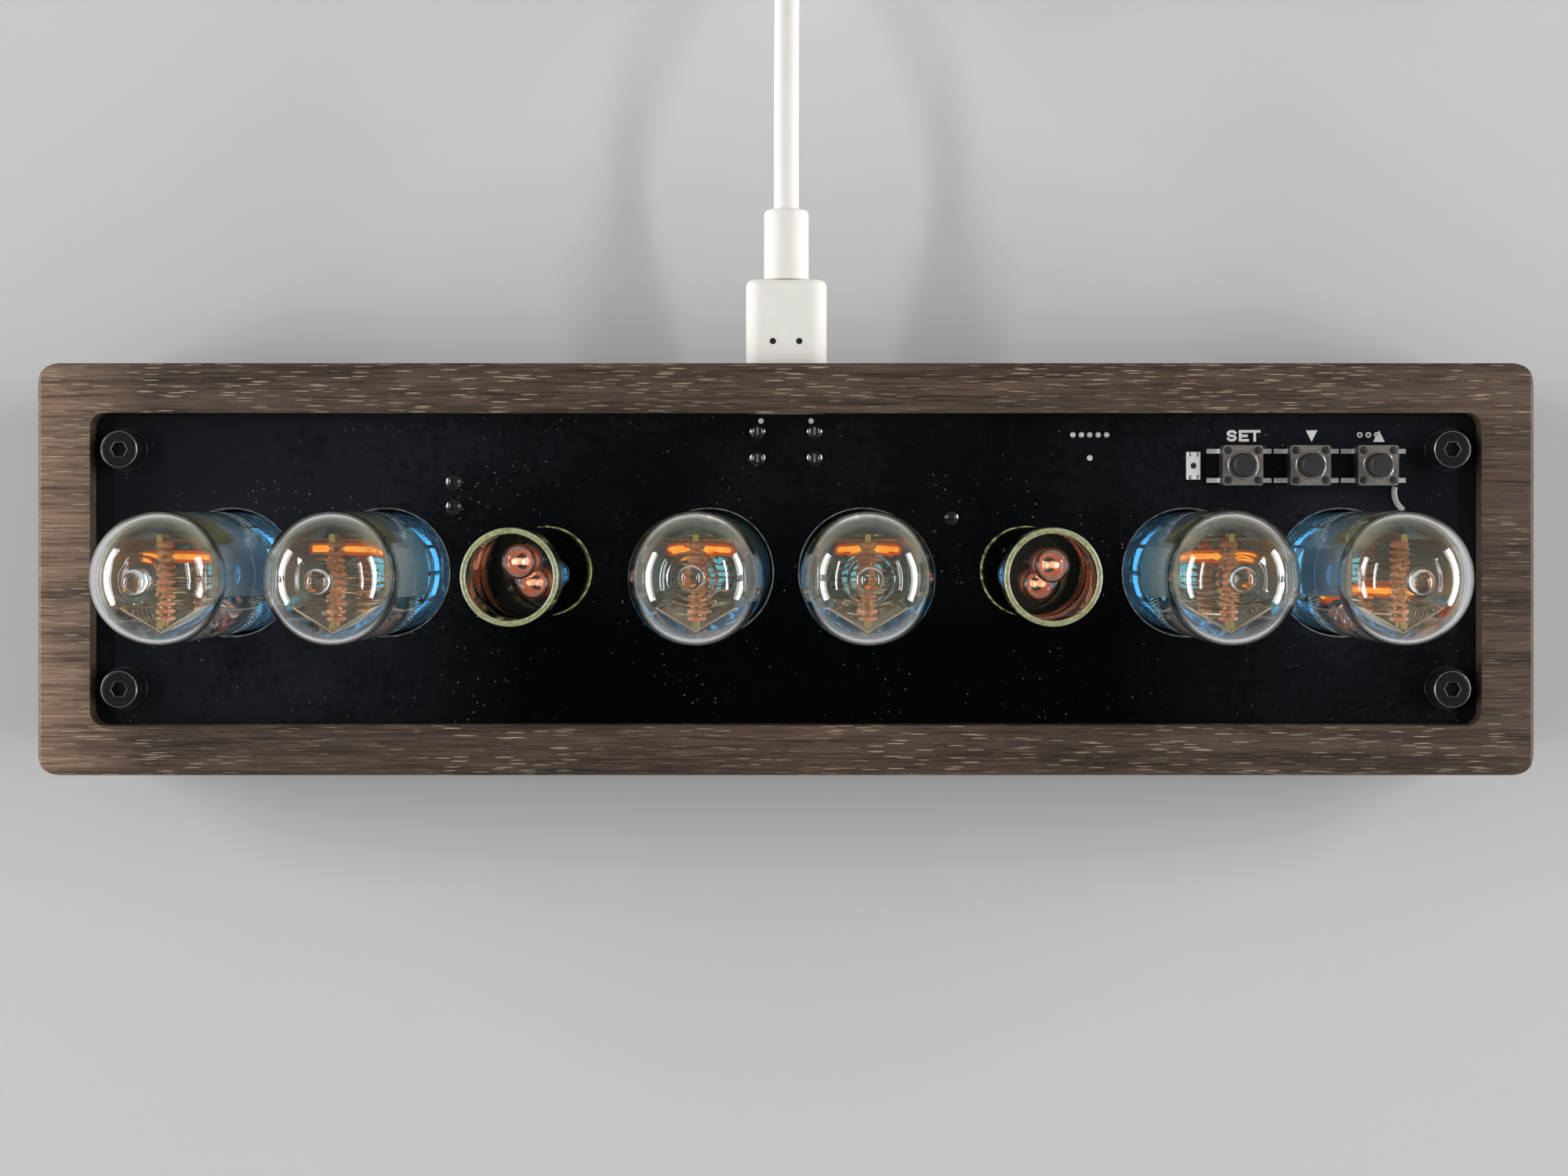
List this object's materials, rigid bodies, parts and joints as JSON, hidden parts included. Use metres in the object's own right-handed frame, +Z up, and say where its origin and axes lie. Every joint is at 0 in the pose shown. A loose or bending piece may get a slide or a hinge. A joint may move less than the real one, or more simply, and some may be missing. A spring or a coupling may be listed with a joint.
{
  "type": "nixie tube clock",
  "caption": "Desk clock with glass numeral indicator tubes and neon colon tubes on a black board in a wooden case, powered by a cable from the back.",
  "frame": {"origin": "middle of the clock's footprint, on the table that the rubber feet stand on", "axes": "+X along the clock to the viewer's right, +Y to the back where the cable leaves, +Z up"},
  "size_m": [0.225, 0.1975, 0.0742],
  "materials": {
    "walnut": "dark grey-brown open-grained wood, thin oil finish",
    "black_acrylic": "black sheet, semi-gloss",
    "black_steel": "black oxide, satin",
    "foot_rubber": "matte",
    "black_board": "glossy black solder mask",
    "green_board": "green solder mask",
    "brass": "plain turned",
    "steel": "nickel plated, satin",
    "tin": "tinned",
    "black_lacquer": "glossy black lacquer over solder",
    "black_plastic": "fine matte",
    "white_plastic": "fine matte",
    "blue_light": "glowing blue diode",
    "blue_sleeve": "printed-free plastic sleeve",
    "tube_glass": "clear, polished",
    "stem_glass": "clear, pressed",
    "colon_glass": "clear, cut ends",
    "lamp_glass": "clear, warm glow inside",
    "lamp_metal": "glowing electrode",
    "digit_metal": "thin pressed sheet, satin",
    "ceramic": "pinkish copper-toned ceramic",
    "mica": "thin split sheet",
    "mesh_metal": "grey, satin",
    "cable_white": "ivory white, smooth",
    "tie_fabric": "black hook-and-loop strap"
  },
  "bodies": {
    "clock": {"case_frame": "walnut", "threaded_inserts": "brass", "bottom_cover": "black_acrylic", "cover_screws": "black_steel", "rubber_feet": "foot_rubber", "top_board": "black_board", "washers": "black_steel", "corner_screws": "black_steel", "tube_board": "green_board", "board_spacers": "brass", "spacer_screws": "steel", "board_header": "black_plastic", "header_pins": "tin", "usb_receptacle": "steel", "solder_joints": "black_lacquer", "contact_pads": "tin", "switch_bases": "black_plastic", "switch_covers": "steel", "switch_domes": "steel", "switch_terminals": "tin", "light_sensor": "white_plastic", "sensor_wire": "white_plastic", "underlights": "blue_light", "controller_chip": "black_plastic", "driver_chips": "black_plastic", "inductor": "black_plastic", "reservoir_capacitor": "blue_sleeve", "cell_holder": "black_plastic", "backup_cell": "steel", "tube_glass_1": "tube_glass", "tube_glass_2": "tube_glass", "tube_glass_3": "tube_glass", "tube_glass_4": "tube_glass", "tube_glass_5": "tube_glass", "tube_glass_6": "tube_glass", "tube_stems": "stem_glass", "tube_leads": "tin", "lead_spacers": "white_plastic", "digit_cathodes": "digit_metal", "digit_rods": "ceramic", "mica_plates": "mica", "anode_meshes": "mesh_metal", "back_shields": "mesh_metal", "getter_rings": "steel", "colon_glass_left": "colon_glass", "colon_glass_right": "colon_glass", "neon_bulbs": "lamp_glass", "neon_electrodes": "lamp_metal", "cable_plug": "cable_white", "cable_plug_shell": "steel", "strain_relief": "cable_white", "cord_lead": "cable_white", "cord_coil": "cable_white", "cord_tail": "cable_white", "coil_tie": "tie_fabric", "supply_plug": "cable_white", "supply_plug_shell": "steel"},
    "set_button": {"plunger_set": "black_plastic"},
    "down_button": {"plunger_down": "black_plastic"},
    "up_button": {"plunger_up": "black_plastic"}
  },
  "joints": [
    {"name": "set_press", "type": "slide", "parent": "clock", "child": "set_button", "axis": [0, 0, -1], "range_m": [0, 0.00025], "stiffness_N_per_m": 1500},
    {"name": "down_press", "type": "slide", "parent": "clock", "child": "down_button", "axis": [0, 0, -1], "range_m": [0, 0.00025], "stiffness_N_per_m": 1500},
    {"name": "up_press", "type": "slide", "parent": "clock", "child": "up_button", "axis": [0, 0, -1], "range_m": [0, 0.00025], "stiffness_N_per_m": 1500}
  ]
}
